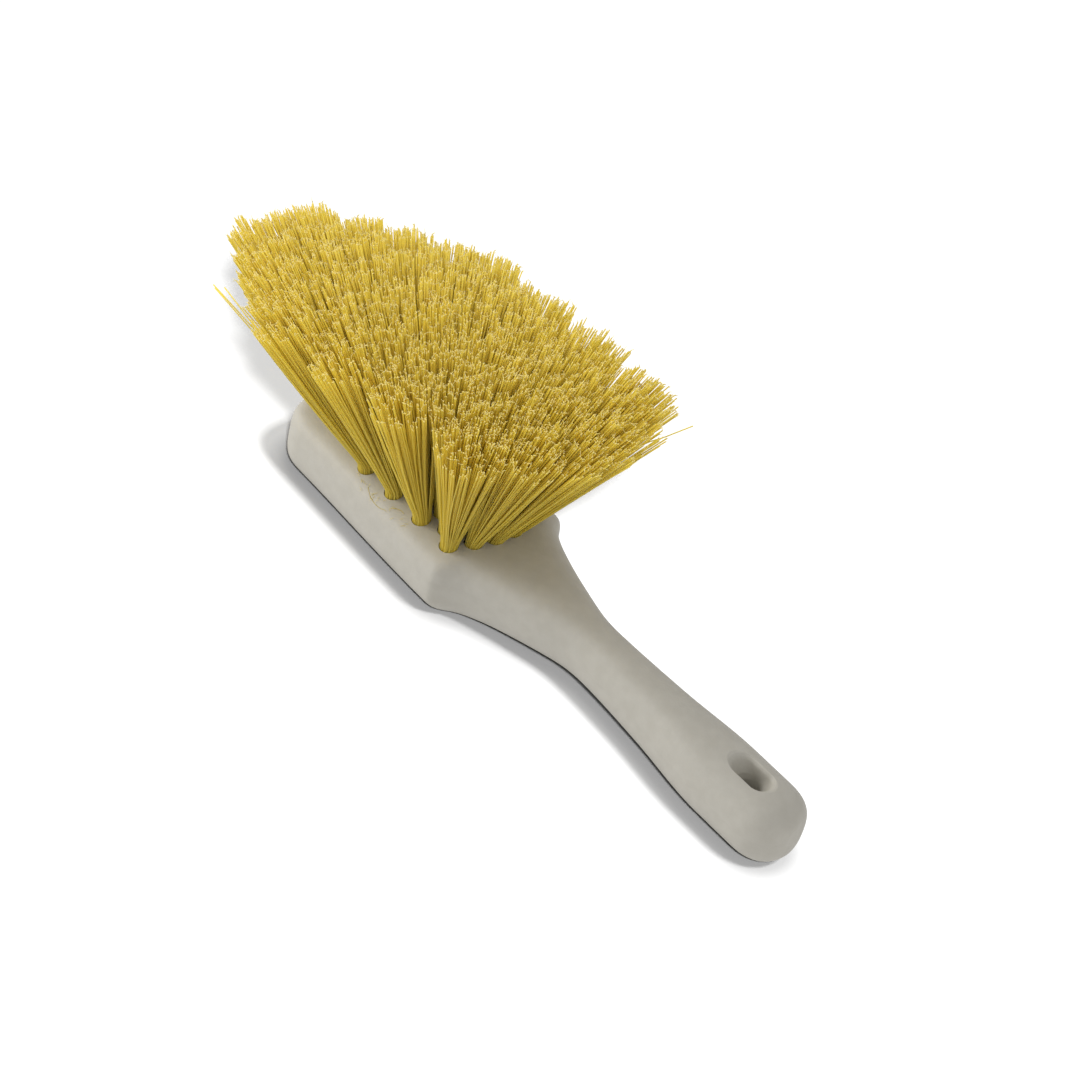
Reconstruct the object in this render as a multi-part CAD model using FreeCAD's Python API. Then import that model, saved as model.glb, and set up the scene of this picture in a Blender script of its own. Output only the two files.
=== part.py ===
import FreeCAD, Part
import math
import os

# Wheel brush: a one-piece moulded block (head and handle) with staple-set bristle tufts.
# Units are millimetres. The brush lies on its back with its bristles up.
# Frame: origin at the middle of the head's flat back, +X towards the handle's end,
# +Y across the head, +Z out of the bristle face.

# ---- Driving dimensions: block ----
OVERALL_LENGTH = 216.0
HEAD_LENGTH = 82.0
HEAD_HALF_WIDTH = 25.8          # at the shoulder, the widest place
NOSE_HALF_WIDTH = 22.8
NOSE_CORNER_RADIUS = 12.0
NOSE_EDGE_RADIUS = 5.0
HEAD_THICKNESS = 22.5
PARTING_HEIGHT = 13.0           # mould parting line above the back, along the head
END_PARTING_HEIGHT = 11.5       # and at the handle's end
BACK_CROWN = 0.8                # crown that the flat back is cut from
NECK_DISTANCE = 130.0           # neck's narrowest place, from the nose
NECK_HALF_WIDTH = 7.8
NECK_TOP = 21.9
NECK_UNDERSIDE = 3.2
RISE_DISTANCE = 100.0           # a place behind the shoulder, from the nose
RISE_UNDERSIDE = 1.4            # and how far the underside has risen there
GRIP_DISTANCE = 188.0           # grip's fullest place, from the nose
GRIP_HALF_WIDTH = 11.9
GRIP_TOP = 22.2
GRIP_UNDERSIDE = 0.1
BUTT_LENGTH = 12.5              # length of the handle's rounded end
BUTT_HEIGHT_SHARE = 0.36        # share of the grip's height left at the very end
BUTT_WIDTH_SHARE = 0.12         # share of the grip's width left there
FACE_SQUARENESS = 3.9           # superellipse exponents: 2 is round, 5 is nearly square
BACK_SQUARENESS = 4.8
SHOULDER_SQUARENESS = 3.5
GRIP_SQUARENESS = 2.6
BUTT_POWER = 2.4

# ---- Driving dimensions: hanging hole ----
HANG_HOLE_FROM_END = 20.0
HANG_HOLE_RADIUS = 3.8          # of the round bore between its oblong mouths
HANG_HOLE_EDGE_RADIUS = 2.0     # rounding of the mouth's edge
MOUTH_STRETCH = 7.0             # how much longer than wide each mouth is
MOUTH_DEPTH = 7.0               # where the stretch has died away
MOUTH_SECTION_DEPTHS = (0.0, 0.3, 0.8, 1.4, 2.0, 3.5, 5.0, MOUTH_DEPTH)
BORE_CLEARANCE = 0.05           # so that the mouths end just inside the bore

# ---- Driving dimensions: bristles ----
COLUMN_PITCH = 6.4              # along the head
ROW_PITCH = 7.0                 # across the head
LAST_COLUMN_FROM_NOSE = 76.8
COLUMN_SIZES = (2, 3, 4, 5, 6, 5, 6, 5, 6, 5, 6)    # tufts in each column, nose first
NOSE_BOW = 4.0                  # how far the first column bows outwards at mid width
HANDLE_BOW = 6.5                # and the last column
BOW_HALF_WIDTH = 20.0           # where the bow dies out
HOLE_RADIUS = 3.0
HOLE_DEPTH = 11.0
ROOT_CLEARANCE = 0.05
BRISTLE_LENGTH = 49.5           # bristle face to trim height of an upright tuft
TRIM_DOME = 10.0                # how much lower a tuft leaning 45 degrees is trimmed
TIP_RADIUS = 4.9
LEAN_CENTRE_FROM_NOSE = 65.0    # where a tuft of the middle row stands upright
LEAN_ALONG = 0.018              # lean per mm along the head
LEAN_ACROSS = 0.0274            # lean per mm across the head, at the head's middle
LEAN_ACROSS_FADE = 0.00022      # how much less that is per mm towards the handle
EDGE_ROW_PULL = 0.08            # how much more the outer rows lean to the nose
TRIM_OVERRUN = 1.25             # a flare is drawn this much too long, then trimmed level
HOLE_LEAN_SHARE = 0.15          # the drilled hole leans less than the tuft above it
ELBOW_ABOVE_FACE = 1.9          # where a tuft bends from its hole's lean to its own

# ---- Driving dimensions: anchor staples ----
ANCHOR_THICKNESS = 0.4
ANCHOR_HEIGHT = 1.9
ANCHOR_LENGTH = 6.7             # bites into the hole's wall on both sides
ANCHOR_ABOVE_BOTTOM = 1.2
ANCHOR_CLEARANCE = 0.02

# ---- Derived places ----
NOSE_X = -HEAD_LENGTH / 2
END_X = NOSE_X + OVERALL_LENGTH
FIELD_MIDDLE = LAST_COLUMN_FROM_NOSE - COLUMN_PITCH * (len(COLUMN_SIZES) - 1) / 2
FIELD_HALF_WIDTH = ROW_PITCH * (max(COLUMN_SIZES) - 1) / 2

# ---- Modelling detail ----
SECTION_POINTS = 32
HEAD_SECTIONS = 14
SWEEP_SECTIONS = 11             # close together where the head sweeps into the neck
HANDLE_SECTIONS = 24
CORNER_STEP = 10                # degrees between sections around a rounded end
SWEEP_START = HEAD_LENGTH - 6.0
SWEEP_END = HEAD_LENGTH + 18.0
CUT_MARGIN = 10.0               # how far cutting shapes reach past what they cut


def smooth_curve(knots):
    """Monotone cubic through (place, value) knots, so no value overshoots its neighbours."""
    places = [place for place, value in knots]
    values = [value for place, value in knots]
    steps = [b - a for a, b in zip(places, places[1:])]
    slopes = [(b - a) / step for a, b, step in zip(values, values[1:], steps)]
    tangents = [0.0] * len(knots)
    for i in range(1, len(knots) - 1):
        before, after = slopes[i - 1], slopes[i]
        if before * after > 0:
            tangents[i] = 2 * before * after / (before + after)

    def value_at(place):
        i = 0
        while i < len(steps) - 1 and place > places[i + 1]:
            i += 1
        t = min(max((place - places[i]) / steps[i], 0.0), 1.0)
        rise = values[i + 1] - values[i]
        bend = t * (1 - t) * ((1 - t) * tangents[i] - t * tangents[i + 1]) * steps[i]
        return values[i] + rise * t * t * (3 - 2 * t) + bend

    return value_at


def shoulder(share, place):
    """A knot on the shoulder's sweep: a share of the way down in width, at a share of its length."""
    distance = HEAD_LENGTH + place * (NECK_DISTANCE - HEAD_LENGTH)
    return distance, NECK_HALF_WIDTH + share * (HEAD_HALF_WIDTH - NECK_HALF_WIDTH)


GRIP_MIDDLE = (NECK_DISTANCE + GRIP_DISTANCE) / 2
half_width = smooth_curve([
    (0.0, NOSE_HALF_WIDTH), (HEAD_LENGTH, HEAD_HALF_WIDTH),
    shoulder(0.70, 0.12), shoulder(0.48, 0.30), shoulder(0.23, 0.60),
    (NECK_DISTANCE, NECK_HALF_WIDTH),
    (GRIP_MIDDLE, NECK_HALF_WIDTH + 0.30 * (GRIP_HALF_WIDTH - NECK_HALF_WIDTH)),
    (GRIP_DISTANCE, GRIP_HALF_WIDTH), (OVERALL_LENGTH, GRIP_HALF_WIDTH)])
top_height = smooth_curve([
    (0.0, HEAD_THICKNESS), (HEAD_LENGTH, HEAD_THICKNESS), (NECK_DISTANCE, NECK_TOP),
    (GRIP_DISTANCE, GRIP_TOP), (OVERALL_LENGTH, GRIP_TOP)])
underside_height = smooth_curve([
    (0.0, -BACK_CROWN), (HEAD_LENGTH, -BACK_CROWN), (RISE_DISTANCE, RISE_UNDERSIDE),
    (NECK_DISTANCE, NECK_UNDERSIDE),
    (GRIP_DISTANCE, GRIP_UNDERSIDE), (OVERALL_LENGTH, GRIP_UNDERSIDE)])
parting_height = smooth_curve([
    (0.0, PARTING_HEIGHT), (HEAD_LENGTH, PARTING_HEIGHT), (OVERALL_LENGTH, END_PARTING_HEIGHT)])
face_squareness = smooth_curve([
    (0.0, FACE_SQUARENESS), (0.7 * HEAD_LENGTH, FACE_SQUARENESS), (HEAD_LENGTH, SHOULDER_SQUARENESS),
    (NECK_DISTANCE, GRIP_SQUARENESS), (OVERALL_LENGTH, GRIP_SQUARENESS)])
back_squareness = smooth_curve([
    (0.0, BACK_SQUARENESS), (HEAD_LENGTH, BACK_SQUARENESS),
    (NECK_DISTANCE, GRIP_SQUARENESS), (OVERALL_LENGTH, GRIP_SQUARENESS)])


def corner_loss(distance, radius):
    """How far a rounded corner of this radius pulls a side in, this far from the end."""
    if distance >= radius:
        return 0.0
    return radius - math.sqrt(radius ** 2 - (radius - distance) ** 2)


def butt_share(distance):
    """Share of the grip's width left in the handle's rounded end."""
    t = max(0.0, (distance - (OVERALL_LENGTH - BUTT_LENGTH)) / BUTT_LENGTH)
    return max(BUTT_WIDTH_SHARE, (1 - t ** BUTT_POWER) ** (1 / BUTT_POWER))


def block_section(distance):
    """Points of the closed superellipse section across the block, this far from the nose."""
    width = (half_width(distance) - corner_loss(distance, NOSE_CORNER_RADIUS)) * butt_share(distance)
    height_share = BUTT_HEIGHT_SHARE + (1 - BUTT_HEIGHT_SHARE) * butt_share(distance)
    edge_loss = corner_loss(distance, NOSE_EDGE_RADIUS)
    widest = parting_height(distance)
    above = (top_height(distance) - widest - edge_loss) * height_share
    below = (widest - underside_height(distance) - edge_loss) * height_share
    points = []
    for i in range(SECTION_POINTS):
        angle = 2 * math.pi * i / SECTION_POINTS
        c, s = math.cos(angle), math.sin(angle)
        power = face_squareness(distance) if s > 0 else back_squareness(distance)
        reach = (abs(c) ** power + abs(s) ** power) ** (-1 / power)
        height = above if s > 0 else below
        points.append(FreeCAD.Vector(NOSE_X + distance, width * reach * c, widest + height * reach * s))
    return points


def evenly(start, end, steps):
    """Places from start up to, but without, end."""
    return [start + (end - start) * i / steps for i in range(steps)]


def section_distances():
    """Places of the block's sections: close together where the outline turns."""
    turn = [math.radians(angle) for angle in range(0, 90, CORNER_STEP)]
    nose = [NOSE_CORNER_RADIUS * (1 - math.cos(angle)) for angle in turn]
    head = evenly(NOSE_CORNER_RADIUS, SWEEP_START, HEAD_SECTIONS)
    sweep = evenly(SWEEP_START, SWEEP_END, SWEEP_SECTIONS)
    butt_start = OVERALL_LENGTH - BUTT_LENGTH
    handle = evenly(SWEEP_END, butt_start, HANDLE_SECTIONS)
    butt = [butt_start + BUTT_LENGTH * math.sin(angle) for angle in turn]
    return nose + head + sweep + handle + butt + [OVERALL_LENGTH]


def block_body():
    """Head and handle as one smooth skin with flat ends, its back cut flat from the crown."""
    net = [block_section(distance) for distance in section_distances()]
    spans = len(net) - 3
    skin = Part.BSplineSurface()
    skin.buildFromPolesMultsKnots(
        net, [4] + [1] * (spans - 1) + [4], [1] * (SECTION_POINTS + 1),
        list(range(spans + 1)), list(range(SECTION_POINTS + 1)), False, True, 3, 3)
    face = skin.toShape()
    rims = [edge for edge in face.Edges if edge.isClosed() and edge.BoundBox.XLength < 0.01]
    caps = [Part.Face(Part.Wire([rim])) for rim in rims]
    shell = Part.makeShell([face] + caps)
    shell.sewShape()
    body = Part.makeSolid(shell)
    if body.Volume < 0:
        body.reverse()
    half_reach = HEAD_HALF_WIDTH + CUT_MARGIN
    above_back = Part.makeBox(
        OVERALL_LENGTH + 2 * CUT_MARGIN, 2 * half_reach, HEAD_THICKNESS + CUT_MARGIN,
        FreeCAD.Vector(NOSE_X - CUT_MARGIN, -half_reach, 0))
    return body.common(above_back)


def oblong(x, z, stretch, radius):
    """Level oblong wire: two half circles this far apart along the brush, joined by straight sides."""
    left, right = x - stretch / 2, x + stretch / 2

    def point(px, py):
        return FreeCAD.Vector(px, py, z)

    return Part.Wire([
        Part.makeLine(point(left, radius), point(right, radius)),
        Part.Arc(point(right, radius), point(right + radius, 0), point(right, -radius)).toShape(),
        Part.makeLine(point(right, -radius), point(left, -radius)),
        Part.Arc(point(left, -radius), point(left - radius, 0), point(left, radius)).toShape()])


def mouth_tool(x, surface_z, inward):
    """The hole's mouth: oblong with a rounded edge at the surface, round at its bottom."""
    sections = [oblong(x, surface_z - inward, MOUTH_STRETCH, HANG_HOLE_RADIUS + HANG_HOLE_EDGE_RADIUS)]
    for depth in MOUTH_SECTION_DEPTHS:
        share = depth / MOUTH_DEPTH
        stretch = MOUTH_STRETCH * (1 - share * share * (3 - 2 * share)) + BORE_CLEARANCE
        radius = HANG_HOLE_RADIUS - BORE_CLEARANCE + corner_loss(depth, HANG_HOLE_EDGE_RADIUS)
        sections.append(oblong(x, surface_z + inward * depth, stretch, radius))
    return Part.makeLoft(sections, True, True)


def hang_hole_tools():
    """Round bore through the handle with an oblong mouth above and below."""
    x = END_X - HANG_HOLE_FROM_END
    bore = Part.makeCylinder(HANG_HOLE_RADIUS, GRIP_TOP, FreeCAD.Vector(x, 0, 0))
    return [bore, mouth_tool(x, GRIP_TOP, -1), mouth_tool(x, GRIP_UNDERSIDE, 1)]


def tuft_places():
    """Name, column, place on the bristle face and lean of every tuft."""
    places = []
    middle = (len(COLUMN_SIZES) - 1) / 2
    for column, count in enumerate(COLUMN_SIZES):
        offset = (column - middle) / middle
        column_bow = (NOSE_BOW if offset < 0 else HANDLE_BOW) * offset
        from_nose = FIELD_MIDDLE + (column - middle) * COLUMN_PITCH
        for row in range(count):
            y = (row - (count - 1) / 2) * ROW_PITCH
            edge_share = (y / FIELD_HALF_WIDTH) ** 2
            distance = from_nose + column_bow * (1 - (y / BOW_HALF_WIDTH) ** 2)
            lean_along = LEAN_ALONG * (distance - LEAN_CENTRE_FROM_NOSE) - EDGE_ROW_PULL * edge_share
            lean_across = y * (LEAN_ACROSS - LEAN_ACROSS_FADE * (distance - FIELD_MIDDLE))
            lean = (lean_along, lean_across)
            name = "tuft_c%02d_r%d" % (column + 1, row + 1)
            places.append((name, NOSE_X + distance, y, lean))
    return places


def root_point(x, y, lean, z):
    """Centre of a tuft's drilled hole at height z."""
    rise = (z - HEAD_THICKNESS) * HOLE_LEAN_SHARE
    return FreeCAD.Vector(x + lean[0] * rise, y + lean[1] * rise, z)


def root_column(x, y, lean, radius, top_z):
    """Round column along the drilled hole's leaning axis, from its bottom up to top_z."""
    low = root_point(x, y, lean, HEAD_THICKNESS - HOLE_DEPTH)
    axis = root_point(x, y, lean, top_z) - low
    return Part.makeCylinder(radius, axis.Length, low, axis)


def anchor_box(x, y, lean, extra):
    """Flat wire pressed across the hole just above its bottom, running along the head."""
    z = HEAD_THICKNESS - HOLE_DEPTH + ANCHOR_ABOVE_BOTTOM
    middle = root_point(x, y, lean, z + ANCHOR_HEIGHT / 2)
    size = FreeCAD.Vector(ANCHOR_LENGTH, ANCHOR_THICKNESS, ANCHOR_HEIGHT)
    size += FreeCAD.Vector(2 * extra, 2 * extra, 2 * extra)
    return Part.makeBox(size.x, size.y, size.z, middle - size / 2)


def tuft(x, y, lean):
    """A tuft's outer shape: round root in its hole, an elbow, then a flare up to its trim height."""
    radius = HOLE_RADIUS - ROOT_CLEARANCE
    trim_z = HEAD_THICKNESS + BRISTLE_LENGTH - TRIM_DOME * (lean[0] ** 2 + lean[1] ** 2)
    elbow_z = HEAD_THICKNESS + ELBOW_ABOVE_FACE
    elbow = root_point(x, y, lean, elbow_z)
    axis = FreeCAD.Vector(lean[0], lean[1], 1) * (trim_z - elbow_z)
    flare_end = radius + (TIP_RADIUS - radius) * TRIM_OVERRUN
    flare = Part.makeCone(radius, flare_end, axis.Length * TRIM_OVERRUN, elbow, axis)
    root = root_column(x, y, lean, radius, elbow_z)
    whole = root.fuse([Part.makeSphere(radius, elbow), flare])
    reach = 4 * BRISTLE_LENGTH
    above_trim = Part.makeBox(reach, reach, reach, FreeCAD.Vector(x - reach / 2, y - reach / 2, trim_z))
    return whole.cut([above_trim, anchor_box(x, y, lean, ANCHOR_CLEARANCE)])


def handle_block():
    """The moulded block with its tuft holes, anchor bites and hanging hole."""
    tools = hang_hole_tools()
    for name, x, y, lean in tuft_places():
        tools.append(root_column(x, y, lean, HOLE_RADIUS, HEAD_THICKNESS + ELBOW_ABOVE_FACE))
        tools.append(anchor_box(x, y, lean, ANCHOR_CLEARANCE))
    return block_body().cut(tools)


def export(name, shape):
    shape.exportStep(os.path.join("parts", name + ".step"))


os.makedirs("parts", exist_ok=True)
export("handle_block", handle_block())
anchors = []
for name, x, y, lean in tuft_places():
    export(name, tuft(x, y, lean))
    anchors.append(anchor_box(x, y, lean, 0.0))
export("anchor_staples", Part.makeCompound(anchors))
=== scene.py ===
import math

import bpy
import numpy as np
from mathutils import Matrix, Vector


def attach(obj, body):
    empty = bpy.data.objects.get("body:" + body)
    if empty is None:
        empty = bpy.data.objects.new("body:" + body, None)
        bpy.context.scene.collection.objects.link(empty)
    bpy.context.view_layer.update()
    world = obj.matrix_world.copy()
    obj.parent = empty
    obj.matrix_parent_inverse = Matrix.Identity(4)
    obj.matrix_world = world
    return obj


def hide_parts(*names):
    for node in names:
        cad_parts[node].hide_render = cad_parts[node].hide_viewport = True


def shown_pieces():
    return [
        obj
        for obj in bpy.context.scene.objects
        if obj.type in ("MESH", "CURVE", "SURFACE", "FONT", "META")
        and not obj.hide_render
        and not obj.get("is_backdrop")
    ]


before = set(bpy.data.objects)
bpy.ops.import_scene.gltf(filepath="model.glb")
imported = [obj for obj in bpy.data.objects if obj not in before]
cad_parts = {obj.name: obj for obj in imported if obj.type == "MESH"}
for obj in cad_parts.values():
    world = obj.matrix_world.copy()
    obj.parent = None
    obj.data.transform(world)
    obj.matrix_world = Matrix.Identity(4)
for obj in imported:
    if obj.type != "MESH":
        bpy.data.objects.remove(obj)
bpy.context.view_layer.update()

# Wheel brush: its moulded block, its anchor staples and its tufts, filament by filament.
# Lengths are millimetres until they become mesh coordinates, which are metres.
# The brush lies on its back at z = 0, with its handle along +X and its bristles up.
MM = 0.001
rng = np.random.default_rng(2024)

# ---- Block ----
FACE_HEIGHT = 22.5
SHOULDER_X = 41.0
END_X = 175.0
PARTING_HEIGHT = 13.0           # along the head
END_PARTING_HEIGHT = 11.5       # at the handle's end
PARTING_HALF_WIDTH = 0.25
PARTING_RELIEF = 0.12
PLASTIC = (0.56, 0.535, 0.47)
PLASTIC_MOTTLE = (0.53, 0.505, 0.44)
PLASTIC_ROUGHNESS = 0.52
MOTTLE_SCALE = 260              # patches per metre
MOTTLE_RANGE = (0.35, 0.65)
PEEL_SCALE = 1100               # orange peel's bumps per metre
PEEL_RELIEF = 0.25
STEEL = (0.56, 0.56, 0.57)
STEEL_ROUGHNESS = 0.35

# ---- Filaments ----
FILAMENTS = 150                 # in one tuft
FILAMENT_RADIUS = 0.21
FILAMENT_SIDES = 5
ROOT_PACK_RADIUS = 2.7
ROOT_START = 15.0               # just above the anchor staple
ROOT_STRAIGHT = 2.5             # length inside the hole that stays parallel to it
HOLE_LEAN_SHARE = 0.15          # the hole leans less than the tuft above it
ELBOW_HEIGHT = FACE_HEIGHT + 1.9
BEND_END = FACE_HEIGHT + 1.2    # above this a filament runs nearly straight
RING_SHARES = (0.0, 0.04, 0.1, 0.18, 0.32, 0.5, 0.68, 0.85, 1.0)    # of the way up from the face
TIP_SPREAD = 11.5               # radius of a tuft's fan at its tips
# Use has given the tips a set. They are pushed this far along and across the head, first at the
# handle end of the field of tufts, then at its far side.
ALONG_DRIFT = (4.5, 2.5)
ACROSS_DRIFT = (5.5, 0.0)
FIELD_HALF_LENGTH = 36.0
FIELD_HALF_WIDTH = 17.5
PACKING_JITTER = 0.25
CLUMPS = 34
CLUMP_JITTER = 0.35
CLUMPING = 0.42                 # how far a filament's tip is drawn to its clump
CLUMP_LENGTH_SPREAD = 0.8
LENGTH_SPREAD = 0.45
LONGEST_ABOVE_CLUMP = 1.0
SWAY = 0.30                     # mid-length bow of a clump
OWN_SWAY_SHARE = 0.5            # and of each filament in it
SHADE_MEAN = 0.5
SHADE_SPREAD = 0.28
HOOK = 0.30                     # length of the curled very end
TIP_RADIUS_SHARES = (0.95, 0.75)
FLAGS_PER_TIP = 2               # split ends
FLAG_RADIUS = 0.11
FLAG_RADIUS_SHARES = (1.0, 0.8, 0.4)
BRISTLE_DARK = (0.84, 0.68, 0.10)
BRISTLE_LIGHT = (0.96, 0.83, 0.19)
BRISTLE_TIP = (0.99, 0.94, 0.62)
BRISTLE_TIP_RANGE = (0.93, 1.05)    # where along a filament its tip turns pale
BRISTLE_GLOW = (0.97, 0.87, 0.25)   # light that passes through the nylon
BRISTLE_CLEARNESS = 0.5
BRISTLE_ROUGHNESS = 0.36
BRISTLE_SPECULAR = 0.4

STRAYS = {                      # filaments sprung out of their fan, by tuft: points of each
    "tuft_c11_r6": [[(49.1, 40.1, 46.0), (54.0, 47.7, 52.0), (57.3, 55.2, 56.0)],
                    [(47.0, 36.0, 50.0), (51.6, 47.3, 63.0)]],
    "tuft_c11_r5": [[(47.0, 33.0, 42.0), (51.9, 42.5, 52.0)],
                    [(46.0, 36.0, 54.0), (49.5, 47.7, 64.0)]],
    "tuft_c03_r1": [[(-36.0, -26.0, 40.0), (-61.6, -39.0, 58.0)],
                    [(-35.0, -27.0, 40.0), (-59.6, -40.0, 58.5)]],
    "tuft_c04_r1": [[(-30.0, -29.0, 42.0), (-57.0, -38.5, 60.0)]],
    "tuft_c01_r1": [[(-50.0, -13.0, 44.0), (-69.0, -21.8, 61.0)]],
}
STRAY_ROOT_SPREAD = 1.5
STRAY_SHADE = 0.9
HAIR_STEPS = 5                  # rings per stretch between two given points

# ---- Lint ----
LINT_FIBRES = 26                # short fibres caught along the head's near edge
LINT_PLACE = ((-8.0, 24.0), (-23.4, -20.6))     # their range along and across the head
LINT_RADIUS = 0.045
LINT_LIFT = (0.05, 0.35)        # height above the head
LINT_STEP = (0.45, 0.30)        # length of a fibre's stretches, along and across the head
LINT_POINTS = 4
LINT_TURN = 0.8                 # how much it turns between stretches, in radians
LINT_PALENESS = 0.2
CAUGHT_HAIR = [(3.4, -21.6), (7.4, -23.2), (12.5, -23.4), (15.6, -21.0), (19.0, -20.2), (22.4, -19.6)]
CAUGHT_HAIR_RADIUS = LINT_RADIUS * 1.6
CAUGHT_HAIR_LIFT = 0.08

# ---- Camera ----
CAMERA_TARGET = (43.7, 15.5, 15.1)
CAMERA_DISTANCE = 999.5
CAMERA_AZIMUTH = 39.8
CAMERA_ELEVATION = 40.03
CAMERA_ROLL = 14.98
CAMERA_LENS = 108.95
SENSOR_WIDTH = 36

# ---- Floor and light ----
# Places of lights are metres from the light target. Shadow lights stand aside of the camera and above
# it, as shares of the distance.
WORLD_LEVEL = 0.6
FLOOR_SIZE = 8.0
FLOOR_DROP = 0.2                # how far the floor lies below the brush's back
FLOOR_ROUGHNESS = 0.9
FLOOR_SEEN = 0.30               # floor's reflectance towards the camera
FLOOR_BOUNCE = 0.175            # and towards the brush
PAINTED_SHADOW_REACH = 8.0             # how far the painted shadow on the floor reaches beside what rests on it
PAINTED_SHADOW_LEVEL = 0.58            # and how much of the floor's light the painted shadow leaves right beside it
PAINTED_SHADOW_RANGE = (0.5, 1.0)      # open share of the sky right beside a wall, and away from it, between which the painted shadow fades out
LIGHT_TARGET = (0.02, 0.0, 0.03)
KEY_PLACE = (-0.48, -0.33, 0.20)
KEY_SIZE = 0.35
KEY_POWER = 2.05
TOP_PLACE = (0.2, -0.35, 1.0)
TOP_SIZE = 0.8
TOP_POWER = 9.0
SHADOW_LIGHT_DISTANCE = 3.0
BLOCK_SHADOW = {"aside": 0.75, "above": 0.50, "size": 0.50, "power": 194}
TUFT_SHADOW = {"aside": 0.10, "above": 0.07, "size": 0.22, "power": 207}


# ---------------------------------------------------------------- materials

def new_material(name, roughness):
    """An empty procedural material: its node tree and its Principled node."""
    material = bpy.data.materials.new(name)
    material.use_nodes = True
    shader = material.node_tree.nodes["Principled BSDF"]
    shader.inputs["Roughness"].default_value = roughness
    return material, material.node_tree, shader


def add_node(tree, kind, **values):
    """A node with some of its inputs set by name."""
    node = tree.nodes.new(kind)
    for name, value in values.items():
        node.inputs[name.replace("_", " ")].default_value = value
    return node


def mix_colours(tree, factor, first, second):
    """Output socket of a mix between two colours, each a socket or a fixed colour."""
    node = tree.nodes.new("ShaderNodeMix")
    node.data_type = "RGBA"
    tree.links.new(factor, node.inputs["Factor"])
    for socket, value in ((node.inputs[6], first), (node.inputs[7], second)):
        if isinstance(value, tuple):
            socket.default_value = (*value, 1)
        else:
            tree.links.new(value, socket)
    return node.outputs[2]


def ramp(tree, source, start, end, curve="LINEAR"):
    """Output socket that goes from 0 to 1 as the source goes from start to end."""
    node = tree.nodes.new("ShaderNodeMapRange")
    node.interpolation_type = curve
    tree.links.new(source, node.inputs["Value"])
    node.inputs["From Min"].default_value = start
    node.inputs["From Max"].default_value = end
    return node.outputs["Result"]


def combine(tree, operation, first, second):
    """Output socket of a maths node. Its inputs are sockets or numbers."""
    node = tree.nodes.new("ShaderNodeMath")
    node.operation = operation
    for socket, value in zip(node.inputs, (first, second)):
        if isinstance(value, (int, float)):
            socket.default_value = value
        else:
            tree.links.new(value, socket)
    return node.outputs[0]


def plastic_material():
    """Warm grey foamed plastic: faint mottling, fine orange peel and a thin parting line."""
    material, tree, shader = new_material("block_plastic", PLASTIC_ROUGHNESS)
    place = tree.nodes.new("ShaderNodeTexCoord").outputs["Object"]
    mottle = add_node(tree, "ShaderNodeTexNoise", Scale=MOTTLE_SCALE, Detail=5)
    peel = add_node(tree, "ShaderNodeTexNoise", Scale=PEEL_SCALE, Detail=3)
    tree.links.new(place, mottle.inputs["Vector"])
    tree.links.new(place, peel.inputs["Vector"])
    patches = ramp(tree, mottle.outputs["Fac"], *MOTTLE_RANGE)
    tree.links.new(mix_colours(tree, patches, PLASTIC, PLASTIC_MOTTLE), shader.inputs["Base Color"])
    bump = add_node(tree, "ShaderNodeBump", Strength=0.35, Distance=PEEL_RELIEF * MM)
    tree.links.new(peel.outputs["Fac"], bump.inputs["Height"])
    line = add_node(tree, "ShaderNodeBump", Strength=0.4, Distance=PARTING_RELIEF * MM)
    tree.links.new(parting_ridge(tree, place), line.inputs["Height"])
    tree.links.new(bump.outputs["Normal"], line.inputs["Normal"])
    tree.links.new(line.outputs["Normal"], shader.inputs["Normal"])
    return material


def parting_ridge(tree, place):
    """Output socket that is 1 on the mould's parting line and falls to 0 a little above and below.
    The line is level along the head and sinks towards the handle's end."""
    parts = tree.nodes.new("ShaderNodeSeparateXYZ")
    tree.links.new(place, parts.inputs["Vector"])
    along = ramp(tree, parts.outputs["X"], SHOULDER_X * MM, END_X * MM, "SMOOTHSTEP")
    sink = combine(tree, "MULTIPLY", along, (PARTING_HEIGHT - END_PARTING_HEIGHT) * MM)
    level = combine(tree, "SUBTRACT", PARTING_HEIGHT * MM, sink)
    away = combine(tree, "ABSOLUTE", combine(tree, "SUBTRACT", parts.outputs["Z"], level), 0.0)
    return ramp(tree, away, PARTING_HALF_WIDTH * MM, 0.0)


def steel_material():
    """Bright drawn wire."""
    material, tree, shader = new_material("anchor_steel", STEEL_ROUGHNESS)
    shader.inputs["Base Color"].default_value = (*STEEL, 1)
    shader.inputs["Metallic"].default_value = 1
    return material


def bristle_material():
    """Yellow nylon: each filament has its own shade and grows paler at its tip."""
    material, tree, shader = new_material("bristle_nylon", BRISTLE_ROUGHNESS)
    shade = tree.nodes.new("ShaderNodeAttribute")
    shade.attribute_name = "shade"
    along = tree.nodes.new("ShaderNodeAttribute")
    along.attribute_name = "along"
    body = mix_colours(tree, shade.outputs["Fac"], BRISTLE_DARK, BRISTLE_LIGHT)
    tip = ramp(tree, along.outputs["Fac"], *BRISTLE_TIP_RANGE)
    tree.links.new(mix_colours(tree, tip, body, BRISTLE_TIP), shader.inputs["Base Color"])
    shader.inputs["Specular IOR Level"].default_value = BRISTLE_SPECULAR
    through = tree.nodes.new("ShaderNodeBsdfTranslucent")
    through.inputs["Color"].default_value = (*BRISTLE_GLOW, 1)
    both = tree.nodes.new("ShaderNodeMixShader")
    both.inputs["Fac"].default_value = BRISTLE_CLEARNESS
    tree.links.new(shader.outputs["BSDF"], both.inputs[1])
    tree.links.new(through.outputs["BSDF"], both.inputs[2])
    tree.links.new(both.outputs["Shader"], tree.nodes["Material Output"].inputs["Surface"])
    return material


# ---------------------------------------------------------------- filaments

def cap_loop(sides, start, flip):
    """Vertex numbers around the end of a tube, in the order that faces outwards."""
    ring = list(range(start, start + sides))
    return ring[::-1] if flip else ring


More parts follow.
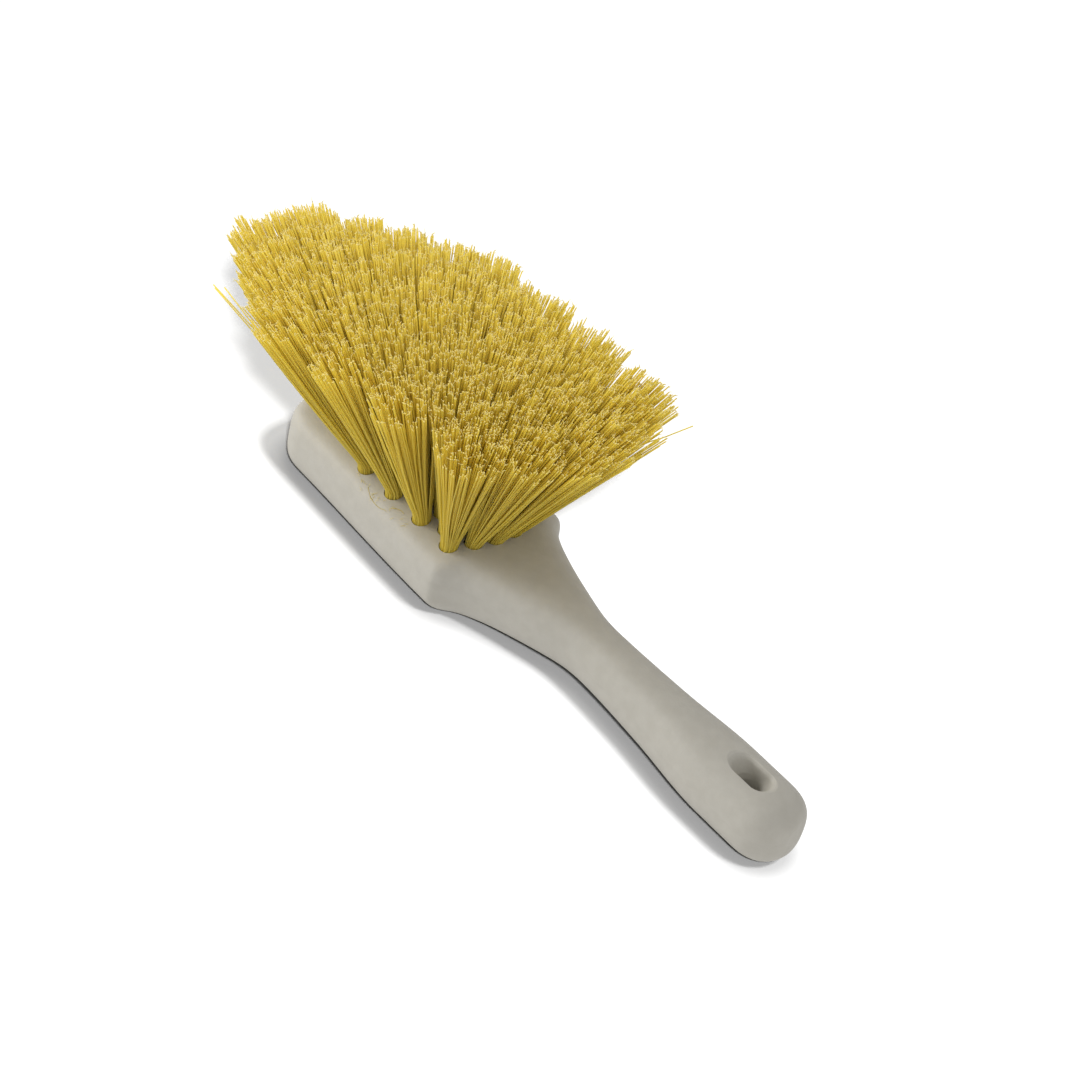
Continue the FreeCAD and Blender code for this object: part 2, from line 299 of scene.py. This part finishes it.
def tube_mesh(name, groups, sides):
    """One mesh of many round tubes. Each group holds paths (n, k, 3), radii (k,), shades (n,) and the
    run of 'along' values (k,) of n tubes with k rings each."""
    points, faces, shades, alongs = [], [], [], []
    start = 0
    turn = np.arange(sides) * 2 * np.pi / sides
    for paths, radii, shade, along in groups:
        count, rings, _ = paths.shape
        tangent = np.gradient(paths, axis=1)
        tangent /= np.linalg.norm(tangent, axis=2, keepdims=True)
        mean = np.abs(tangent.mean(axis=1))
        reference = np.eye(3)[mean.argmin(axis=1)][:, None, :]
        side = np.cross(tangent, reference)
        side /= np.linalg.norm(side, axis=2, keepdims=True)
        other = np.cross(tangent, side)
        ring = side[:, :, None, :] * np.cos(turn)[:, None] + other[:, :, None, :] * np.sin(turn)[:, None]
        surface = paths[:, :, None, :] + ring * np.asarray(radii)[:, None, None]
        points.append(surface.reshape(-1, 3))
        shades.append(np.repeat(shade, rings * sides))
        alongs.append(np.tile(np.repeat(along, sides), count))
        tube = np.arange(count)[:, None, None] * rings * sides
        level = np.arange(rings - 1)[None, :, None] * sides
        here = np.arange(sides)[None, None, :]
        after = (here + 1) % sides
        base = start + tube + level
        quads = np.stack([base + here, base + after, base + after + sides, base + here + sides], axis=-1)
        faces += quads.reshape(-1, 4).tolist()
        for tube_start in range(start, start + count * rings * sides, rings * sides):
            faces.append(cap_loop(sides, tube_start, True))
            faces.append(cap_loop(sides, tube_start + (rings - 1) * sides, False))
        start += count * rings * sides
    mesh = bpy.data.meshes.new(name)
    mesh.from_pydata((np.concatenate(points) * MM).tolist(), [], faces)
    for label, values in (("shade", shades), ("along", alongs)):
        attribute = mesh.attributes.new(label, "FLOAT", "POINT")
        attribute.data.foreach_set("value", np.concatenate(values).astype(np.float32))
    mesh.polygons.foreach_set("use_smooth", np.ones(len(faces), bool))
    mesh.update()
    piece = bpy.data.objects.new(name, mesh)
    bpy.context.scene.collection.objects.link(piece)
    return piece


def disc_points(count, jitter):
    """Evenly packed points in the unit disc, each moved a little at random."""
    index = np.arange(count) + 0.5
    radius = np.sqrt(index / count)
    angle = index * math.pi * (3 - math.sqrt(5)) + rng.uniform(0, 2 * math.pi)
    places = np.stack([radius * np.cos(angle), radius * np.sin(angle)], axis=1)
    return places + rng.normal(0, jitter, places.shape) / math.sqrt(count)


def tuft_axis(node):
    """Centre of a tuft's root at its bottom and of its tip at the trim height, from its CAD solid."""
    points = np.array([vertex.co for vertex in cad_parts[node].data.vertices]) / MM
    z = points[:, 2]
    centres = []
    for level in (points[z < z.min() + 0.5], points[z > z.max() - 0.01]):
        centres.append((level.min(axis=0) + level.max(axis=0)) / 2)
    return centres


def filament_paths(root, tip, lengths, sway):
    """Paths (n, k, 3) of filaments from root offsets (n, 2) on the tuft's axis to tip offsets (n, 2)."""
    (axis_low, root_offset), (axis_high, tip_offset) = root, tip
    run = HOLE_LEAN_SHARE * (ELBOW_HEIGHT - axis_low[2]) + axis_high[2] - ELBOW_HEIGHT
    lean = (axis_high[:2] - axis_low[:2]) / run
    face_centre = axis_low[:2] + lean * HOLE_LEAN_SHARE * (FACE_HEIGHT - axis_low[2])
    at_face = face_centre + root_offset
    target = axis_high[:2] + tip_offset
    own_lean = (target - at_face) / (axis_high[2] - FACE_HEIGHT)
    rise = lengths / np.sqrt(1 + (own_lean ** 2).sum(axis=1))
    share = np.array(RING_SHARES)
    z_above = FACE_HEIGHT + rise[:, None] * share
    bend = (BEND_END - FACE_HEIGHT) / (axis_high[2] - FACE_HEIGHT)
    grown = np.where(share < bend, share ** 2 / (2 * bend), share - bend / 2) / (1 - bend / 2)
    hole_lean = lean * HOLE_LEAN_SHARE
    straight = share[None, :, None] * hole_lean * rise[:, None, None]
    extra = (own_lean - hole_lean)[:, None, :] * rise[:, None, None] * grown[None, :, None]
    xy = at_face[:, None, :] + straight + extra
    bow = np.sin(math.pi * share) * np.clip(share / 0.2, 0, 1)
    xy += sway[:, None, :] * bow[None, :, None]
    above = np.concatenate([xy, z_above[:, :, None]], axis=2)
    below_z = np.array([ROOT_START, FACE_HEIGHT - ROOT_STRAIGHT])
    below_xy = at_face[:, None, :] + hole_lean * (below_z - FACE_HEIGHT)[None, :, None]
    below_heights = np.broadcast_to(below_z[None, :, None], (len(at_face), 2, 1))
    below = np.concatenate([below_xy, below_heights], axis=2)
    return np.concatenate([below, above], axis=1)


def curled_ends(paths):
    """The paths with two more points each, where the very end curls aside."""
    tangent = paths[:, -1] - paths[:, -2]
    tangent /= np.linalg.norm(tangent, axis=1, keepdims=True)
    aside = rng.normal(0, 1, tangent.shape)
    aside -= tangent * (aside * tangent).sum(axis=1, keepdims=True)
    aside /= np.linalg.norm(aside, axis=1, keepdims=True)
    strength = rng.uniform(0.0, 1.0, (len(paths), 1)) ** 2
    reach = HOOK * rng.uniform(0.4, 1.0, (len(paths), 1))
    first = paths[:, -1] + reach * (tangent + aside * strength * 0.6)
    second = first + reach * (tangent * (1 - 0.6 * strength) + aside * strength * 1.2)
    return np.concatenate([paths, first[:, None], second[:, None]], axis=1)


def flag_paths(paths):
    """Short split ends that stand off the last stretch of each filament."""
    ends = []
    for _ in range(FLAGS_PER_TIP):
        base = paths[:, -3] + (paths[:, -1] - paths[:, -3]) * rng.uniform(0.0, 1.0, (len(paths), 1))
        heading = paths[:, -1] - paths[:, -3]
        heading /= np.linalg.norm(heading, axis=1, keepdims=True)
        aside = rng.normal(0, 0.7, heading.shape)
        reach = rng.uniform(0.2, 0.7, (len(paths), 1))
        middle = base + reach * (heading + aside) * 0.5
        end = middle + reach * (heading * 0.4 + aside * 1.3 + rng.normal(0, 0.4, heading.shape)) * 0.5
        ends.append(np.stack([base, middle, end], axis=1))
    return np.concatenate(ends)


def hair(points, radius, shade):
    """A tube group of one smooth filament through a few points."""
    knots = np.array(points, float)
    run = np.linspace(0, len(knots) - 1, HAIR_STEPS * (len(knots) - 1) + 1)
    padded = np.concatenate([[2 * knots[0] - knots[1]], knots, [2 * knots[-1] - knots[-2]]])
    path = []
    for t in run:
        i = min(int(t), len(knots) - 2)
        u = t - i
        a, b, c, d = padded[i:i + 4]
        path.append(0.5 * (2 * b + (c - a) * u + (2 * a - 5 * b + 4 * c - d) * u ** 2
                           + (3 * b - a - 3 * c + d) * u ** 3))
    paths = np.array(path)[None]
    count = paths.shape[1]
    return paths, np.full(count, radius), np.array([shade]), np.linspace(0.1, 0.92, count)


def stray_groups(node):
    """The few filaments of this tuft that have sprung out of its fan."""
    low, high = tuft_axis(node)
    groups = []
    for points in STRAYS.get(node, []):
        side = rng.uniform(-STRAY_ROOT_SPREAD, STRAY_ROOT_SPREAD, 2)
        root = [(low[0] + side[0], low[1] + side[1], z) for z in (ROOT_START, FACE_HEIGHT)]
        groups.append(hair(root + points, FILAMENT_RADIUS, STRAY_SHADE))
    return groups


def on_block(block, x, y, lift):
    """Point this far above the block's top surface at a place along and across it."""
    start = Vector((x, y, FACE_HEIGHT + 5)) * MM
    hit, place, normal, _ = block.ray_cast(start, Vector((0, 0, -1)))
    return np.array(place + normal * lift * MM) / MM


def build_lint(block, material):
    """Short pale fibres and one long hair caught on the head beside the tufts."""
    (x_low, x_high), (y_low, y_high) = LINT_PLACE
    long_hair = [on_block(block, x, y, CAUGHT_HAIR_LIFT) for x, y in CAUGHT_HAIR]
    groups = [hair(long_hair, CAUGHT_HAIR_RADIUS, 0.0)]
    for _ in range(LINT_FIBRES):
        x = rng.uniform(x_low, x_high)
        y = rng.uniform(y_low, y_high)
        heading = rng.uniform(0, 2 * math.pi)
        points = []
        for _ in range(LINT_POINTS):
            points.append(on_block(block, x, y, rng.uniform(*LINT_LIFT)))
            heading += rng.normal(0, LINT_TURN)
            x += LINT_STEP[0] * math.cos(heading)
            y += LINT_STEP[1] * math.sin(heading)
        paths, radii, shade, along = hair(points, LINT_RADIUS, 1.0)
        groups.append((paths, radii, shade, along + LINT_PALENESS))
    piece = tube_mesh("caught_lint", groups, 4)
    piece.data.materials.append(material)
    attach(piece, "root")


def build_tuft(node, material):
    """One tuft: packed roots, a fan of slightly bowed filaments gathered in clumps, split tips."""
    low, high = tuft_axis(node)
    share = low[:2] / [FIELD_HALF_LENGTH, FIELD_HALF_WIDTH]
    high = high + [share @ ALONG_DRIFT, share @ ACROSS_DRIFT, 0.0]
    discs = disc_points(FILAMENTS, PACKING_JITTER)
    clump_places = disc_points(CLUMPS, CLUMP_JITTER)
    nearest = ((discs[:, None] - clump_places[None]) ** 2).sum(axis=2).argmin(axis=1)
    drawn = discs + (clump_places[nearest] - discs) * CLUMPING
    lengths = np.linalg.norm(high - [*low[:2], FACE_HEIGHT])
    lengths = lengths + rng.normal(0, CLUMP_LENGTH_SPREAD, CLUMPS)[nearest]
    own_lengths = lengths + rng.normal(0, LENGTH_SPREAD, FILAMENTS)
    lengths = np.minimum(own_lengths, lengths + LONGEST_ABOVE_CLUMP)
    clump_sway = rng.normal(0, SWAY, (CLUMPS, 2))[nearest]
    sway = clump_sway + rng.normal(0, SWAY * OWN_SWAY_SHARE, (FILAMENTS, 2))
    paths = filament_paths((low, discs * ROOT_PACK_RADIUS), (high, drawn * TIP_SPREAD), lengths, sway)
    paths = curled_ends(paths)
    rings = paths.shape[1]
    radii = np.full(rings, FILAMENT_RADIUS)
    radii[-2:] = FILAMENT_RADIUS * np.array(TIP_RADIUS_SHARES)
    along = np.linspace(0.0, 1.0, rings)
    along[:2] = 0.0
    along[2:-2] = np.linspace(0.02, 0.93, rings - 4)
    along[-2:] = 0.97, 1.0
    shade = np.clip(rng.normal(SHADE_MEAN, SHADE_SPREAD, FILAMENTS), 0, 1)
    flags = flag_paths(paths)
    flag_radii = FLAG_RADIUS * np.array(FLAG_RADIUS_SHARES)
    flag_shade = np.tile(shade, FLAGS_PER_TIP)
    flag_along = np.array([0.97, 1.0, 1.05])
    groups = [(paths, radii, shade, along), (flags, flag_radii, flag_shade, flag_along)]
    piece = tube_mesh("bristles_" + node.split("_", 1)[1], groups + stray_groups(node), FILAMENT_SIDES)
    piece.data.materials.append(material)
    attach(piece, "root")
    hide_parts(node)
    return piece


# ---------------------------------------------------------------- stage

def build_floor():
    """A white floor that the brush lies on, with a painted shadow that darkens its colour for the camera
    beside what rests on it.
    """
    material, tree, shader = new_material("stage_floor", FLOOR_ROUGHNESS)
    shader.inputs["Specular IOR Level"].default_value = 0.0
    seen = tree.nodes.new("ShaderNodeLightPath").outputs["Is Camera Ray"]
    # Painted shadow: for the camera, the floor's colour is darkened where ambient occlusion finds
    # something resting close by.
    openness = add_node(tree, "ShaderNodeAmbientOcclusion", Distance=PAINTED_SHADOW_REACH * MM)
    open_share = openness.outputs["AO"]
    lit_share = combine(tree, "MULTIPLY", ramp(tree, open_share, *PAINTED_SHADOW_RANGE), 1 - PAINTED_SHADOW_LEVEL)
    seen_level = combine(tree, "MULTIPLY", combine(tree, "ADD", lit_share, PAINTED_SHADOW_LEVEL), FLOOR_SEEN)
    level = combine(tree, "MULTIPLY", seen, combine(tree, "SUBTRACT", seen_level, FLOOR_BOUNCE))
    tree.links.new(combine(tree, "ADD", level, FLOOR_BOUNCE), shader.inputs["Base Color"])
    bpy.ops.mesh.primitive_plane_add(size=FLOOR_SIZE, location=(0, 0, -FLOOR_DROP * MM))
    floor = bpy.context.object
    floor.name = "stage_floor"
    floor.data.materials.append(material)
    floor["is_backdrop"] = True
    return floor


def lamp_group(name, pieces):
    """Collection of pieces for a light to shine on or be stopped by."""
    group = bpy.data.collections.new(name)
    for piece in pieces:
        group.objects.link(piece)
    return group


def add_area_light(name, place, target, size, energy, lit, blockers=None):
    """A square soft light at a place, aimed at the target, both in metres. It lights only the lit
    objects, and only the blockers, or everything if there are none, stand in its way."""
    data = bpy.data.lights.new(name, "AREA")
    data.size = size
    data.energy = energy
    lamp = bpy.data.objects.new(name, data)
    lamp.location = place
    lamp.rotation_euler = (Vector(target) - Vector(place)).to_track_quat("-Z", "Y").to_euler()
    bpy.context.scene.collection.objects.link(lamp)
    lamp.light_linking.receiver_collection = lamp_group(name + "_lit", lit)
    if blockers:
        lamp.light_linking.blocker_collection = lamp_group(name + "_blockers", blockers)
    lamp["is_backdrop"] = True


def camera_axes():
    """Right, up and back directions of the camera, as unit vectors."""
    azimuth, elevation, roll = (math.radians(a) for a in (CAMERA_AZIMUTH, CAMERA_ELEVATION, CAMERA_ROLL))
    level = math.cos(elevation)
    back = Vector((math.sin(azimuth) * level, -math.cos(azimuth) * level, math.sin(elevation)))
    flat_right = Vector((math.cos(azimuth), math.sin(azimuth), 0))
    flat_up = back.cross(flat_right)
    right = math.cos(roll) * flat_right + math.sin(roll) * flat_up
    up = -math.sin(roll) * flat_right + math.cos(roll) * flat_up
    return right, up, back


def build_camera():
    """Camera at the photographer's angle, looking at the middle of the brush."""
    right, up, back = camera_axes()
    data = bpy.data.cameras.new("camera")
    data.lens = CAMERA_LENS
    data.sensor_width = SENSOR_WIDTH
    data.clip_start = 0.01
    data.clip_end = 20
    camera = bpy.data.objects.new("camera", data)
    turn = Matrix((right, up, back)).transposed().to_4x4()
    place = Vector(CAMERA_TARGET) * MM + back * CAMERA_DISTANCE * MM
    camera.matrix_world = Matrix.Translation(place) @ turn
    bpy.context.scene.collection.objects.link(camera)
    bpy.context.scene.camera = camera


def build_light(floor, block, tufts):
    """Even white surroundings, a soft key on the brush from the left, a soft top light on the tufts,
    and two lights on the floor, which leave the brush's soft shadow along its lower left."""
    world = bpy.data.worlds.new("world")
    world.use_nodes = True
    background = world.node_tree.nodes["Background"]
    background.inputs["Color"].default_value = (1, 1, 1, 1)
    background.inputs["Strength"].default_value = WORLD_LEVEL
    bpy.context.scene.world = world
    right, up, back = camera_axes()
    target = Vector(LIGHT_TARGET)
    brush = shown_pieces()
    add_area_light("key", target + Vector(KEY_PLACE), target, KEY_SIZE, KEY_POWER, brush)
    add_area_light("top_light", target + Vector(TOP_PLACE), target, TOP_SIZE, TOP_POWER, tufts)
    for name, lamp, blockers in (("block_shadow_light", BLOCK_SHADOW, [block]),
                                 ("tuft_shadow_light", TUFT_SHADOW, brush)):
        heading = (back + right * lamp["aside"] + up * lamp["above"]).normalized()
        place = target + heading * SHADOW_LIGHT_DISTANCE
        add_area_light(name, place, target, lamp["size"], lamp["power"], [floor], blockers)


# ---------------------------------------------------------------- assembly

scene = bpy.context.scene
scene.view_settings.view_transform = "Standard"

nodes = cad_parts
block = nodes["handle_block"]
block.data.materials.clear()
block.data.materials.append(plastic_material())
anchors = nodes["anchor_staples"]
anchors.data.materials.clear()
anchors.data.materials.append(steel_material())

nylon = bristle_material()
tufts = [build_tuft(node, nylon) for node in sorted(nodes) if node.startswith("tuft_")]

build_lint(block, nylon)
build_light(build_floor(), block, tufts)
build_camera()
